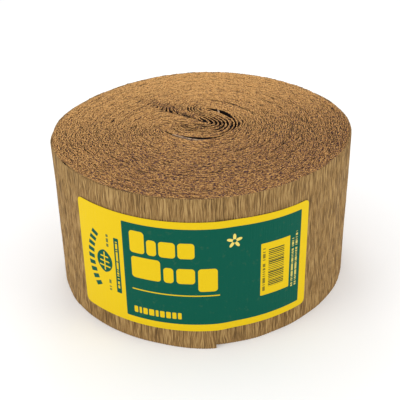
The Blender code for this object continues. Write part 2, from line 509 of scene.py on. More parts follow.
@dataclass(frozen=True)
class LabelPrint:
    """Printed face of the label: a green panel on yellow, with blocks where a label carries words.

    Places on the label are in millimetres: across from the front of the roll, and up from its base.
    """

    name: str = "label_print"
    yellow: Colour = (0.730, 0.505, 0.010)
    green: Colour = (0.0030, 0.088, 0.056)
    ink: Colour = (0.012, 0.035, 0.022)
    pale: Colour = (0.800, 0.640, 0.150)
    backing: Colour = (0.640, 0.600, 0.500)
    backing_from: float = 500.0
    edge: float = 0.16

    panel: Box = Box((-48.2, 17.2), (63.0, 83.0), 0.6)
    headline: tuple[BlockRow, ...] = (
        BlockRow(-43.4, 63.6, ((9.0, 14.6), (5.6, 10.2), (9.4, 10.2), (9.4, 10.2)), 1.5, 2.0),
        BlockRow(-42.9, 46.4, ((17.6, 14.5), (5.6, 10.2), (10.4, 10.2), (11.0, -10.2)), 1.9, 2.0),
        BlockRow(-42.9, 20.8, tuple((width, 4.4) for width in (2.2, 1.4, 2.6, 3.0, 1.6, 2.6, 2.6, 2.2, 2.0)),
                 1.1, 0.5),
    )
    rule: Box = Box((-43.4, 37.6), (8.7, 38.2))
    fine_rows: tuple[Box, ...] = (Box((56.3, 30.5), (57.7, 66.0)), Box((59.2, 30.5), (60.6, 69.2)))
    fine_dashes: Dashes = Dashes(1.9, 0.0, 0.28)
    fine_ink: float = 0.75

    flower_centre: tuple[float, float] = (17.4, 73.6)
    petals: int = 5
    petal_depth: float = 1.7
    petal_reach: float = 3.2
    flower_eye: float = 1.1

    bar_patch: Box = Box((34.0, 31.5), (54.5, 68.0), 0.4)
    bar_stack: Box = Box((39.2, 36.8), (50.2, 63.2), 0.2)
    bar_pitch: float = 1.25
    bar_thinnest: float = 0.25
    bar_spread: float = 0.55
    bar_row: Box = Box((35.3, 34.5), (36.9, 65.0))
    bar_dashes: Dashes = Dashes(1.3, 40.0, 0.3)
    bar_row_ink: float = 0.7

    leaf_centre: tuple[float, float] = (-62.7, 50.4)
    leaf_side: float = 2.3
    leaf_radius: float = 8.4
    rib: Box = Box((-63.1, 44.0), (-62.3, 56.8), 0.35)
    veins: int = 3
    vein_base: float = 46.6
    vein_rise: float = 3.3
    vein_reach: float = 4.2
    vein_taper: float = 0.6
    vein_width: float = 0.8

    arch_centre: tuple[float, float] = (-35.5, 50.0)
    arch_radius: float = 38.0
    arch_scale: float = 39.0
    arch_half_width: float = 2.7
    arch_half_length: float = 21.4
    bead_pitch: float = 4.8
    bead_half: float = 0.33

    banner: Box = Box((-54.6, 31.0), (-51.2, 69.4), 0.5)
    banner_row: Box = Box((-53.5, 33.0), (-52.3, 67.5))
    banner_dashes: Dashes = Dashes(1.4, 5.0, 0.3)
    side_rows: tuple[Box, ...] = (Box((-60.2, 30.5), (-58.7, 39.5)), Box((-60.2, 61.5), (-58.7, 70.0)))
    side_dashes: Dashes = Dashes(1.1, 9.0, 0.35)
    side_ink: float = 0.8

    wear_grain: Colour = (220.0, 220.0, 1.0)
    ripple_grain: Colour = (330.0, 14.0, 1.0)
    gloss: tuple[float, float] = (0.10, 0.42)
    specular: float = 0.05
    relief: tuple[float, float] = (0.12 * MM, 0.5)

    def build(self) -> bpy.types.Material:
        """Make the material.

        Returns:
            The finished material.
        """
        graph = ShaderGraph(self.name)
        flat = graph.stretched(graph.uv(), (1.0 / MM, 1.0 / MM, 0.0))
        across, up, _ = graph.split(flat)
        at = FlatLabel(graph, flat, across, up, self.edge)
        rows = [box for row in self.headline for box in row.boxes()]
        colour = graph.mix(at.any_of(self.panel), self.yellow, self.green)
        colour = graph.mix(at.any_of(*rows, self.rule), colour, self.yellow)
        colour = graph.mix(self.fine_print(at), colour, self.pale)
        colour = graph.mix(at.any_of(self.bar_patch), colour, self.yellow)
        colour = graph.mix(self.bars(at), colour, self.ink)
        colour = graph.mix(self.emblem(at), colour, self.green)
        colour = graph.mix(self.leaf_ribs(at), colour, self.yellow)
        wear = graph.noise(graph.uv(), self.wear_grain, 3.0, 0.6)
        ripple = graph.noise(graph.uv(), self.ripple_grain)
        colour = graph.mix(wear.ramp(0.60, 0.9) * 0.05, colour, self.pale)
        gum = graph.mix(wear.ramp(0.35, 0.65) * 0.3, self.backing, self.pale)
        colour = graph.mix(across.above(self.backing_from), colour, gum)
        worn, clean = self.gloss
        graph.set(Base_Color=colour, Roughness=wear * worn + clean, Specular_IOR_Level=self.specular,
                  Normal=graph.bump(ripple + wear * 0.15, *self.relief))
        return graph.material

    def fine_print(self, at: FlatLabel) -> Signal:
        """Mask of the flower mark and of two upright rows of dashes on the green panel.

        Args:
            at: Places on the label.

        Returns:
            1 on the print and 0 off it.
        """
        reach = at.reach(self.flower_centre)
        bearing = (at.across - self.flower_centre[0]).angle_over(at.up - self.flower_centre[1])
        outline = (bearing * float(self.petals)).cosine() * self.petal_depth + self.petal_reach
        flower = (outline - reach).ramp(0.0, 0.3) * (reach - self.flower_eye).ramp(0.0, 0.2)
        rows = at.any_of(*self.fine_rows)
        return flower.upper(rows * at.dashed(self.fine_dashes) * self.fine_ink)

    def bars(self, at: FlatLabel) -> Signal:
        """Mask of a stack of bars of uneven thickness, with a faint row of dashes beside it.

        Args:
            at: Places on the label.

        Returns:
            1 on the print and 0 off it.
        """
        cell = at.up / self.bar_pitch
        thickness = at.graph.chance(cell.floor()) * self.bar_spread + self.bar_thinnest
        stack = at.any_of(self.bar_stack) * (thickness - cell.fraction()).above(0.0)
        row = at.any_of(self.bar_row) * at.dashed(self.bar_dashes) * self.bar_row_ink
        return stack.upper(row)

    def emblem(self, at: FlatLabel) -> Signal:
        """Mask of a leaf with an arch of beads to its left and a banner to its right.

        Args:
            at: Places on the label.

        Returns:
            1 on the emblem and 0 off it.
        """
        middle, height = self.leaf_centre
        left, right = ((self.leaf_radius - at.reach((middle + side, height))).ramp(0.0, 0.2)
                       for side in (-self.leaf_side, self.leaf_side))
        reach = at.reach(self.arch_centre)
        bearing = (at.up - self.arch_centre[1]).angle_over(at.across - self.arch_centre[0])
        run = (math.pi - bearing.absolute()) * self.arch_scale
        bead = ((run / self.bead_pitch + 0.5).fraction() - 0.5).absolute()
        arch = (self.arch_half_width - (reach - self.arch_radius).absolute()).ramp(0.0, 0.3)
        arch = arch * (self.bead_half - bead).ramp(0.0, 0.06) * (self.arch_half_length - run).ramp(0.0, 0.1)
        notes = at.any_of(*self.side_rows) * at.dashed(self.side_dashes) * self.side_ink
        return (left * right).upper(arch).upper(at.any_of(self.banner)).upper(notes)

    def leaf_ribs(self, at: FlatLabel) -> Signal:
        """Mask of the leaf's rib and veins, and of the dashes on the banner.

        Args:
            at: Places on the label.

        Returns:
            1 on the lines and 0 off them.
        """
        lines = [self.rib]
        for step in range(self.veins):
            height = self.vein_base + self.vein_rise * step
            reach = self.vein_reach - self.vein_taper * step
            lines.append(Box((self.leaf_centre[0] - reach, height),
                             (self.leaf_centre[0] + reach, height + self.vein_width), self.rib.corner))
        dashes = at.any_of(self.banner_row) * at.dashed(self.banner_dashes)
        return at.any_of(*lines).upper(dashes)


@dataclass(frozen=True)
class PaleFloor:
    """Plain white floor with the faintest mottle."""

    name: str = "pale_floor"
    white: Colour = (0.97, 0.97, 0.97)
    shade: Colour = (0.95, 0.95, 0.95)
    mottle: Colour = (6.0, 6.0, 6.0)
    roughness: float = 0.9
    specular: float = 0.1

    def build(self) -> bpy.types.Material:
        """Make the material.

        Returns:
            The finished material.
        """
        graph = ShaderGraph(self.name)
        colour = graph.mix(graph.noise(graph.place(), self.mottle), self.shade, self.white)
        graph.set(Base_Color=colour, Roughness=self.roughness, Specular_IOR_Level=self.specular)
        return graph.material


# --------------------------------------------------------------------------------------- shape of the roll


def headings(degrees: Union[float, np.ndarray]) -> np.ndarray:
    """Unit vectors in the floor plane, degrees from +X towards +Y."""
    radians = np.radians(degrees)
    return np.stack([np.cos(radians), np.sin(radians)], axis=-1)


def bearings(vectors: np.ndarray) -> np.ndarray:
    """Headings of plan vectors, in degrees from +X towards +Y."""
    return np.degrees(np.arctan2(vectors[..., 1], vectors[..., 0]))


def smooth_step(values: np.ndarray) -> np.ndarray:
    """Ease from 0 to 1, held outside."""
    held = np.clip(values, 0.0, 1.0)
    return held * held * (3.0 - 2.0 * held)


@dataclass(frozen=True)
class RollPlan:
    """Plan of the roll: its out-of-round side and the strip's slow spiral.

    The side bulges twice, three times and four times round, each by a share of the mean radius. The free
    end's lower corner flares off the roll over flare_run degrees and dies away over flare_fade.
    """

    centre: tuple[float, float] = (0.3 * MM, 0.0)
    mean_radius: float = 94.7 * MM
    height: float = 101.6 * MM
    strip: float = 0.45 * MM
    pitch: float = 0.9 * MM
    tail_root: float = -58.0
    tail_end: float = 3.7
    twofold: float = 0.0186
    threefold: float = 0.005
    fourfold: float = 0.0104
    corner_flare: float = 2.4 * MM
    flare_run: float = 24.0
    flare_fade: float = 7.0
    flare_height: float = 24.0 * MM

    def side_radius(self, bearing: np.ndarray) -> np.ndarray:
        """Work out the outermost radius.

        Args:
            bearing: Headings in degrees.

        Returns:
            Radius at each heading.
        """
        turn = np.radians(bearing)
        waves = self.twofold * np.sin(2.0 * turn) - self.threefold * np.sin(3.0 * turn)
        return self.mean_radius * (1.0 + (waves + self.fourfold * np.cos(4.0 * turn)))

    def drop(self, face: np.ndarray) -> np.ndarray:
        """How far the strip lies inside the outermost radius, at face angles counted back from its end."""
        return self.pitch * (self.tail_end - face) / 360.0

    def stand_off(self, face: np.ndarray, height: np.ndarray) -> np.ndarray:
        """Work out how far the free end's lower corner stands off the roll.

        Args:
            face: Face angles.
            height: Heights on the side.

        Returns:
            Distance outwards, fading out past the end.
        """
        before = smooth_step((face - self.tail_end + self.flare_run) / self.flare_run)
        after = smooth_step((self.tail_end + self.flare_fade - face) / self.flare_fade)
        low = smooth_step(1.0 - height / self.flare_height)
        return self.corner_flare * np.minimum(before, after) * low ** 2

    def side(self, face: np.ndarray, drop: np.ndarray) -> np.ndarray:
        """Place points on the side of the roll.

        Args:
            face: Face angles.
            drop: How far in from the outermost radius.

        Returns:
            Points in plan.
        """
        bearing = np.asarray(face) - 90.0
        reach = self.side_radius(bearing) - drop
        return np.array(self.centre) + headings(bearing) * reach[..., None]

    def side_spots(self, root: float, turns: tuple[float, float], height: float) -> list[tuple[float, ...]]:
        """Two places on the side, at face angles counted from a root."""
        return [(*self.side(np.array([root + turn]), np.array([0.0]))[0], height) for turn in turns]


@dataclass(frozen=True)
class MandrelGap:
    """The C-shaped gap: a round bend with a flatter leg at each end, alike on both sides of the fold.

    Points here are (along, across): along the fold from the middle of the bend, and across it. An opening is
    (the angle from the bottom of the bend where a leg is widest, its spread in degrees, the added width).
    """

    fold: float = 140.0
    middle: tuple[float, float] = (-0.2 * MM, 3.6 * MM)
    bend: float = 22.0 * MM
    leg: float = 30.0 * MM
    bend_start: float = -5.0
    bend_end: float = 60.0
    upper_end: float = 108.0
    lower_end: float = 103.0
    leg_merge: float = 30.0 * MM
    closed_width: float = 0.55 * MM
    width_reach: float = 6.0 * MM
    upper_opening: tuple[float, float, float] = (92.0, 22.0, 2.4 * MM)
    lower_opening: tuple[float, float, float] = (66.0, 29.0, 2.6 * MM)
    crease_shift: float = 4.4 * MM
    crease_reach: float = 10.0 * MM
    crease_rise: tuple[float, float] = (-21.0 * MM, 10.0 * MM)
    crease_return: tuple[float, float] = (12.0 * MM, 24.0 * MM)
    crease_returned: float = 0.75

    def crease_offset(self, along: np.ndarray) -> np.ndarray:
        """Work out how far the crease runs to one side of the gap's own middle line.

        Args:
            along: Places along the fold.

        Returns:
            Shift across, at each place.
        """
        (rise, rise_run), (turn, turn_run) = self.crease_rise, self.crease_return
        begun = smooth_step((along - rise) / rise_run)
        straight = 1.0 - self.crease_returned * smooth_step((along - turn) / turn_run)
        return self.crease_shift * begun * straight

    def local(self, points: np.ndarray) -> np.ndarray:
        """Turn plan points into (along, across), with the crease at zero across.

        Points between the legs are moved across by as much as the crease is.

        Args:
            points: Points in plan.

        Returns:
            The same points along and across.
        """
        moved = points - np.array(self.middle)
        along = moved @ headings(self.fold)
        across = moved @ headings(self.fold - 90.0)
        shift = self.crease_offset(along) * np.exp(-(across / self.crease_reach) ** 2)
        return np.stack([along, across - shift], axis=-1)

    def in_plan(self, along: np.ndarray, across: np.ndarray) -> np.ndarray:
        """Points in plan, from places along and across the gap's own middle line."""
        started = np.array(self.middle) + along[:, None] * headings(self.fold)
        return started + across[:, None] * headings(self.fold - 90.0)

    def leg_middle(self) -> np.ndarray:
        """Middle of the legs' arc, (along, across)."""
        turn = math.radians(self.bend_end)
        return (self.bend - self.leg) * np.array([-math.cos(turn), math.sin(turn)])

    def arc_distance(self, local: np.ndarray, middle: np.ndarray, radius: float, first: float,
                     last: float) -> np.ndarray:
        """Measure the distance to an arc whose angles are counted from the bottom of the bend.

        Args:
            local: Points along and across.
            middle: Middle of the arc.
            radius: Its radius.
            first: Angle where it starts.
            last: Angle where it ends.

        Returns:
            Distance of each point.
        """
        moved = local - middle
        angle = np.degrees(np.arctan2(moved[..., 1], -moved[..., 0]))
        ends = []
        for end in (first, last):
            turn = math.radians(end)
            tip = middle + radius * np.array([-math.cos(turn), math.sin(turn)])
            ends.append(np.linalg.norm(local - tip, axis=-1))
        inside = (angle >= first) & (angle <= last)
        return np.where(inside, np.abs(np.linalg.norm(moved, axis=-1) - radius), np.minimum(*ends))

    def distance(self, local: np.ndarray) -> np.ndarray:
        """Measure the distance from the edge of the gap.

        Args:
            local: Points along and across.

        Returns:
            Distance of each point, less than zero inside the gap.
        """
        folded = np.stack([local[..., 0], np.abs(local[..., 1])], axis=-1)
        bend = self.arc_distance(folded, np.zeros(2), self.bend, self.bend_start, self.bend_end)
        upper, lower = (self.arc_distance(folded, self.leg_middle(), self.leg, self.bend_end, end)
                        for end in (self.upper_end, self.lower_end))
        share = smooth_step(local[..., 1] / self.leg_merge + 0.5)
        leg = upper * share + lower * (1.0 - share)
        reach = np.minimum(bend, leg)
        angle = np.degrees(np.arctan2(folded[..., 1], -folded[..., 0]))
        half = self.half_width(angle * np.where(local[..., 1] < 0.0, -1.0, 1.0))
        near = np.exp(-(reach / self.width_reach) ** 2)
        return reach - self.closed_width - (half - self.closed_width) * near

    def half_width(self, angle: np.ndarray) -> np.ndarray:
        """Work out half of the gap's width.

        Args:
            angle: Angles from the bottom of the bend, more than zero on the upper leg.

        Returns:
            Half width at each angle.
        """
        half = np.full(np.shape(angle), self.closed_width)
        for sign, (middle, spread, width) in ((1.0, self.upper_opening), (-1.0, self.lower_opening)):
            opening = np.exp(-((angle * sign - middle) / spread) ** 2) * width
            half = half + np.where(angle * sign > 0.0, opening, 0.0)
        return half


@dataclass(frozen=True)
class Seam:
    """A place where two turns part over some of their way round: bearings in degrees, width in turns."""

    turn: float
    bearing: float
    spread: float
    width: float
    depth: float


@dataclass(frozen=True)
class Gathering:
    """How the turns gather at the crease, by where a turn crosses it and where on the turn a point lies.

    Widths and sides are in millimetres. A pair is (where a change begins, the length that it takes).
    """

    even_width: float = 2.9
    bend_width: float = 9.6
    even_side: float = 1.6
    bend_side: float = 6.4
    bend_from: tuple[float, float] = (2.0 * MM, 8.0 * MM)
    weaker_from: tuple[float, float] = (42.0 * MM, 26.0 * MM)
    weakest: float = 0.45
    gone_from: tuple[float, float] = (72.0 * MM, 30.0 * MM)
    inside_run: float = 2.0 * MM
    hollow_from: tuple[float, float] = (46.0 * MM, 6.0 * MM)


@dataclass(frozen=True)
class TurnField:
    """Where each turn of the strip lies: a level from 0 at the gap to 1 at the side.

    The notch pulls the turns in where the fold leaves the gap. Ticks are the even scale of creases along it.
    """

    plan: RollPlan
    gap: MandrelGap
    turns: int = 116
    first_level: float = 0.002
    clearance: float = 0.90 * MM
    rim_step: float = 6.0
    notch_depth: float = 0.045
    notch_place: float = 16.0 * MM
    notch_size: tuple[float, float] = (13.0 * MM, 8.0 * MM)
    squeeze: float = 0.74
    longest_pull: float = 1.05
    tick: float = 4.4 * MM
    bend_tick: float = 3.1 * MM
    bend_ticks_to: float = -4.0 * MM
    tick_depth: float = 0.85 * MM
    crease_start: float = 0.6 * MM
    crease_end: float = 90.0 * MM
    crease_samples: int = 1200
    gathering: Gathering = Gathering()
    seams: tuple[Seam, ...] = (
        Seam(24.5, 62.0, 36.0, 0.60, 0.46 * MM),
        Seam(14.5, 186.0, 44.0, 0.10, 0.12 * MM),
        Seam(17.5, 236.0, 26.0, 0.24, 0.14 * MM),
    )
    seam_fade: float = 3.0
    seam_edge: float = 0.9
    probe: float = 0.02 * MM
    halvings: int = 40
    beyond_side: float = 1.02
    stride: float = 0.5 * MM
    most_strides: int = 900
    corrections: int = 3
    fold_back: float = 0.3 * MM
    warm_up: int = 30

    def turn_levels(self) -> np.ndarray:
        """Level of each turn."""
        return np.maximum(np.arange(self.turns + 1) / self.turns, self.first_level)

    def rim_drop(self, bearing: np.ndarray) -> np.ndarray:
        """Work out how far in the windings end, just under the last turn.

        Args:
            bearing: Headings in degrees.

        Returns:
            Distance in from the outermost radius.
        """
        past_root = np.mod(bearing + 90.0 - self.plan.tail_root, 360.0)
        inner_start = self.plan.drop(self.plan.tail_root - 360.0 + past_root)
        step = self.plan.pitch * smooth_step((past_root - (360.0 - self.rim_step)) / self.rim_step)
        return inner_start + step + self.clearance

    def level(self, points: np.ndarray) -> np.ndarray:
        """Work out the level at plan points.

        Args:
            points: Points in plan.

        Returns:
            Level at each point.
        """
        local = self.gap.local(points)
        inner = self.gap.distance(local)
        moved = points - np.array(self.plan.centre)
        bearing = bearings(moved)
        outer = self.plan.side_radius(bearing) - self.rim_drop(bearing) - np.linalg.norm(moved, axis=-1)
        length, width = self.notch_size
        notch = np.exp(-((local[..., 0] - self.notch_place) / length) ** 2 - (local[..., 1] / width) ** 2)
        return inner / (inner + outer) + self.notch_depth * notch

    def slope(self, points: np.ndarray) -> np.ndarray:
        """Work out the gradient of the level.

        Args:
            points: Points in plan.

        Returns:
            Gradient at each point.
        """
        parts = []
        for shift in (np.array([self.probe, 0.0]), np.array([0.0, self.probe])):
            parts.append((self.level(points + shift) - self.level(points - shift)) / (2.0 * self.probe))
        return np.stack(parts, axis=-1)

    def bundles(self, levels: np.ndarray) -> tuple[np.ndarray, np.ndarray, np.ndarray]:
        """Gather the turns that cross the crease between two ticks of an even scale along it.

        Args:
            levels: Level of each turn.

        Returns:
            How far each turn is pulled towards the middle of its bundle, in turns; where it crosses the
            crease; and 1 for a turn that starts a bundle, 0 for the others.
        """
        along = np.linspace(-self.gap.bend + self.crease_start, self.crease_end, self.crease_samples)
        on_crease = self.gap.in_plan(along, self.gap.crease_offset(along))
        crossing = np.interp(levels, np.maximum.accumulate(self.level(on_crease)), along)
        past = crossing - self.bend_ticks_to
        ticks = np.floor(np.where(past < 0.0, past / self.bend_tick, past / self.tick))
        numbers = np.arange(len(levels), dtype=float)
        pulls, first = np.zeros(len(levels)), np.zeros(len(levels))
        for tick in np.unique(ticks):
            members = ticks == tick
            pulls[members] = self.squeeze * (numbers[members].mean() - numbers[members])
            first[np.flatnonzero(members)[0]] = 1.0
        return np.clip(pulls, -self.longest_pull, self.longest_pull), crossing, first

    def near_crease(self, points: np.ndarray, crossing: np.ndarray) -> np.ndarray:
        """Work out how strongly turns are gathered.

        Args:
            points: Points in plan.
            crossing: Where the turn of each point crosses the crease.

        Returns:
            0 where a turn runs free, to 1 where it is fully gathered.
        """
        local, how = self.gap.local(points), self.gathering
        at_bend = smooth_step((how.bend_from[0] - crossing) / how.bend_from[1])
        width = (how.even_width + how.bend_width * at_bend) * MM
        middle = (how.even_side + how.bend_side * at_bend) * MM
        across = np.exp(-((local[..., 1] - middle) / width) ** 2)
        fading = smooth_step((how.weaker_from[0] - crossing) / how.weaker_from[1])
        fading = how.weakest + (1.0 - how.weakest) * fading
        fading = fading * smooth_step((how.gone_from[0] - crossing) / how.gone_from[1])
        inside = smooth_step((local[..., 0] + self.gap.bend) / how.inside_run)
        hollow = smooth_step((crossing + how.hollow_from[0] - local[..., 0]) / how.hollow_from[1])
        return across * fading * inside * hollow

    def along_seams(self, points: np.ndarray) -> list[tuple[Seam, np.ndarray]]:
        """Each seam, with how much of it each plan point's bearing has, 0 to 1."""
        bearing = np.mod(bearings(points - np.array(self.gap.middle)), 360.0)
        return [(seam, np.exp(-((bearing - seam.bearing) / seam.spread) ** 2)) for seam in self.seams]

    def dents(self, points: np.ndarray, turn_at: np.ndarray) -> np.ndarray:
        """Sink the cut edges at the crease's ticks and along the seams.

        Args:
            points: Points of the strip's middle line.
            turn_at: Turn number at each point.

        Returns:
            Depth at each point.
        """
        _, crossing, first = self.bundles(self.turn_levels())
        numbers = np.arange(self.turns + 1)
        at_tick = np.interp(turn_at, numbers, first) ** 2
        depth = self.tick_depth * at_tick * self.near_crease(points, np.interp(turn_at, numbers, crossing))
        for seam, window in self.along_seams(points):
            depth = depth + seam.depth * np.exp(-((turn_at - seam.turn) / self.seam_edge) ** 2) * window
        return depth

    def parting(self, points: np.ndarray) -> np.ndarray:
        """Shift the turns so that a few seams open between them over part of their way round.

        Args:
            points: One point for each turn.

        Returns:
            Shift of each turn, in turns.
        """
        numbers = np.arange(len(points))
        total = np.zeros(len(points))
        for seam, window in self.along_seams(points):
            beyond = numbers - seam.turn
            total += seam.width * np.sign(beyond) * np.exp(-np.abs(beyond) / self.seam_fade) * window
        return total

    def starts(self, levels: np.ndarray) -> np.ndarray:
        """Find where each turn crosses the line that runs from the bend straight away from the fold.

        Args:
            levels: Level of each turn.

        Returns:
            One point for each turn.
        """
        away = -headings(self.gap.fold)
        near = np.full(len(levels), self.gap.bend)
        far = np.full(len(levels), self.plan.mean_radius * self.beyond_side)
        for _ in range(self.halvings):
            middle = 0.5 * (near + far)
            low = self.level(np.array(self.gap.middle) + away * middle[:, None]) < levels
            near, far = np.where(low, middle, near), np.where(low, far, middle)
        return np.array(self.gap.middle) + away * near[:, None]

    def trace(self, levels: np.ndarray, side: float) -> list[np.ndarray]:
        """Follow every turn from its start to the fold, round one side.

        Args:
            levels: Level of each turn.
            side: 1 to go round anticlockwise and -1 clockwise.

        Returns:
            One line of points for each turn.
        """
        here = self.starts(levels)
        pulls, crossing, _ = self.bundles(levels)
        lines, live = [here], np.ones(len(levels), bool)
        turned = np.array([[0.0, 1.0], [-1.0, 0.0]]) * side
        for count in range(self.most_strides):
            slope = self.slope(here)
            ahead = (slope @ turned) / np.linalg.norm(slope, axis=-1, keepdims=True)
            step = here + ahead * self.stride
            for _ in range(self.corrections):
                slope = self.slope(step)
                shift = pulls * self.near_crease(step, crossing) + self.parting(step)
                off = self.level(step) - levels - shift / self.turns
                move = slope * (off / np.maximum((slope ** 2).sum(-1), 1.0))[:, None]
                length = np.linalg.norm(move, axis=-1, keepdims=True)
                step = step - move * np.minimum(1.0, self.stride / np.maximum(length, TINY))
            here = np.where(live[:, None], step, here)
            lines.append(here)
            short = self.gap.local(here)[:, 1] * side > self.fold_back
            live = live & (short | (count < self.warm_up))
            if not live.any():
                break
        return [self.finished(np.stack([line[turn] for line in lines]), side) for turn in range(len(levels))]

    def finished(self, line: np.ndarray, side: float) -> np.ndarray:
        """Cut a line where it comes to the crease."""
        close = self.gap.local(line)[self.warm_up:, 1] * side <= self.fold_back
        return line[:self.warm_up + int(np.argmax(close)) + 1] if close.any() else line


def run_along(line: np.ndarray) -> np.ndarray:
    """Distance along a line at each of its points."""
    return np.concatenate([[0.0], np.cumsum(np.linalg.norm(np.diff(line, axis=0), axis=-1))])


def resampled(line: np.ndarray, shares: np.ndarray) -> np.ndarray:
    """Points at shares of a line's length."""
    run = run_along(line)
    return np.stack([np.interp(shares * run[-1], run, line[:, axis]) for axis in range(2)], axis=-1)


def line_length(line: np.ndarray) -> float:
    """Length of a line of points."""
    return float(np.linalg.norm(np.diff(line, axis=0), axis=-1).sum())


def normals_of(path: np.ndarray) -> np.ndarray:
    """Work out the unit normals of a path.

    Args:
        path: Points of the path.

    Returns:
        Normals to the right of its direction: outwards where it runs anticlockwise.
    """
    ahead = np.gradient(path, axis=0)
    ahead /= np.maximum(np.linalg.norm(ahead, axis=-1, keepdims=True), TINY)
    return np.stack([ahead[:, 1], -ahead[:, 0]], axis=-1)


@dataclass(frozen=True)
class Ripples:
    """Smooth irregular waves: a sum of plane waves with seeded directions and lengths."""

    seed: int
    count: int
    shortest: float
    longest: float
    spread: float = 180.0

    def at(self, points: np.ndarray) -> np.ndarray:
        """Work out the wave height.

        Args:
            points: Points in a plane.

        Returns:
            Height at each point, of mean size about 1.
        """
        draw = np.random.default_rng(self.seed)
        lengths = np.exp(draw.uniform(math.log(self.shortest), math.log(self.longest), self.count))
        bearing = draw.uniform(-self.spread, self.spread, self.count)
        phases = draw.uniform(0.0, 2.0 * math.pi, self.count)
        total = np.zeros(points.shape[:-1])
        for length, direction, phase in zip(lengths, headings(bearing), phases):
            total += np.sin(points @ direction * (2.0 * math.pi / length) + phase)
        return total * math.sqrt(2.0 / self.count)


# ---------------------------------------------------------------------------------------- mesh helpers


def strip_sheet(name: str, columns: int, rows: int, place: Placing, mapping: Placing) -> bpy.types.Object:
    """Bend a flat grid into a standing sheet.

    Args:
        name: Name of the piece.
        columns: Faces along the sheet.
        rows: Faces up the sheet.
        place: Turns (column share, row share) into points.
        mapping: Turns (column share, row share) into the map's coordinates.

    Returns:
        The sheet, with no thickness yet.
    """
    grid = bmesh.new()
    bmesh.ops.create_grid(grid, x_segments=columns, y_segments=rows, size=1.0)
    flat = np.array([vertex.co[:2] for vertex in grid.verts]) * 0.5 + 0.5
    column = np.round(flat[:, 0] * columns) / columns
    row = np.round(flat[:, 1] * rows) / rows
    points = place(column, row)
    coordinates = mapping(column, row)
    layer = grid.loops.layers.uv.new("UVMap")
    for vertex, point, pair in zip(grid.verts, points, coordinates):
        vertex.co = point
        for loop in vertex.link_loops:
            loop[layer].uv = pair
    mesh = bpy.data.meshes.new(name)
    grid.to_mesh(mesh)
    grid.free()
    sheet = bpy.data.objects.new(name, mesh)
    bpy.context.scene.collection.objects.link(sheet)
    return sheet


def station_at(column: np.ndarray, columns: int) -> np.ndarray:
    """Numbers of the stations at shares of a sheet's length."""
    return np.round(column * columns).astype(int)


def thickened(sheet: bpy.types.Object, thickness: float, offset: float = -1.0) -> bpy.types.Object:
    """Give a sheet its paper thickness and close its edges.

    Args:
        sheet: Sheet to thicken.
        thickness: Thickness of the paper.
        offset: -1 to grow inwards from the face, 1 outwards, 0 both ways.

    Returns:
        The same object with a closed mesh.
    """
    wall = sheet.modifiers.new("paper", "SOLIDIFY")
    wall.thickness = thickness
    wall.offset = offset
    wall.use_rim = True
    bpy.context.view_layer.update()
    evaluated = sheet.evaluated_get(bpy.context.evaluated_depsgraph_get())
    mesh = bpy.data.meshes.new_from_object(evaluated)
    sheet.modifiers.clear()
    open_mesh = sheet.data
    sheet.data = mesh
    bpy.data.meshes.remove(open_mesh)
    mesh.name = sheet.name
    return sheet


def finish_piece(piece: bpy.types.Object, material: bpy.types.Material, nodes: Sequence[str],
                 smooth: float = 40.0) -> None:
    """Dress a piece, hide the solids that it stands for, and report it.

    Args:
        piece: The finished piece.
        material: Its material.
        nodes: Solids that it stands for, if any.
        smooth: Angle in degrees up to which its faces are shaded as one.
    """
    piece.data.materials.clear()
    piece.data.materials.append(material)
    piece.data.shade_smooth()
    piece.data.set_sharp_from_angle(angle=math.radians(smooth))
    if nodes:
        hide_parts(*nodes)
    LOG.info("%s: %d vertices, %d faces", piece.name, len(piece.data.vertices), len(piece.data.polygons))


# ------------------------------------------------------------------------------------- wound strip pieces


@dataclass(frozen=True)
class Stretch:
    """One piece of the spiral: its shares of all turns, and the solids that it stands for."""

    name: str
    low: float
    high: float
    nodes: tuple[str, ...] = ()


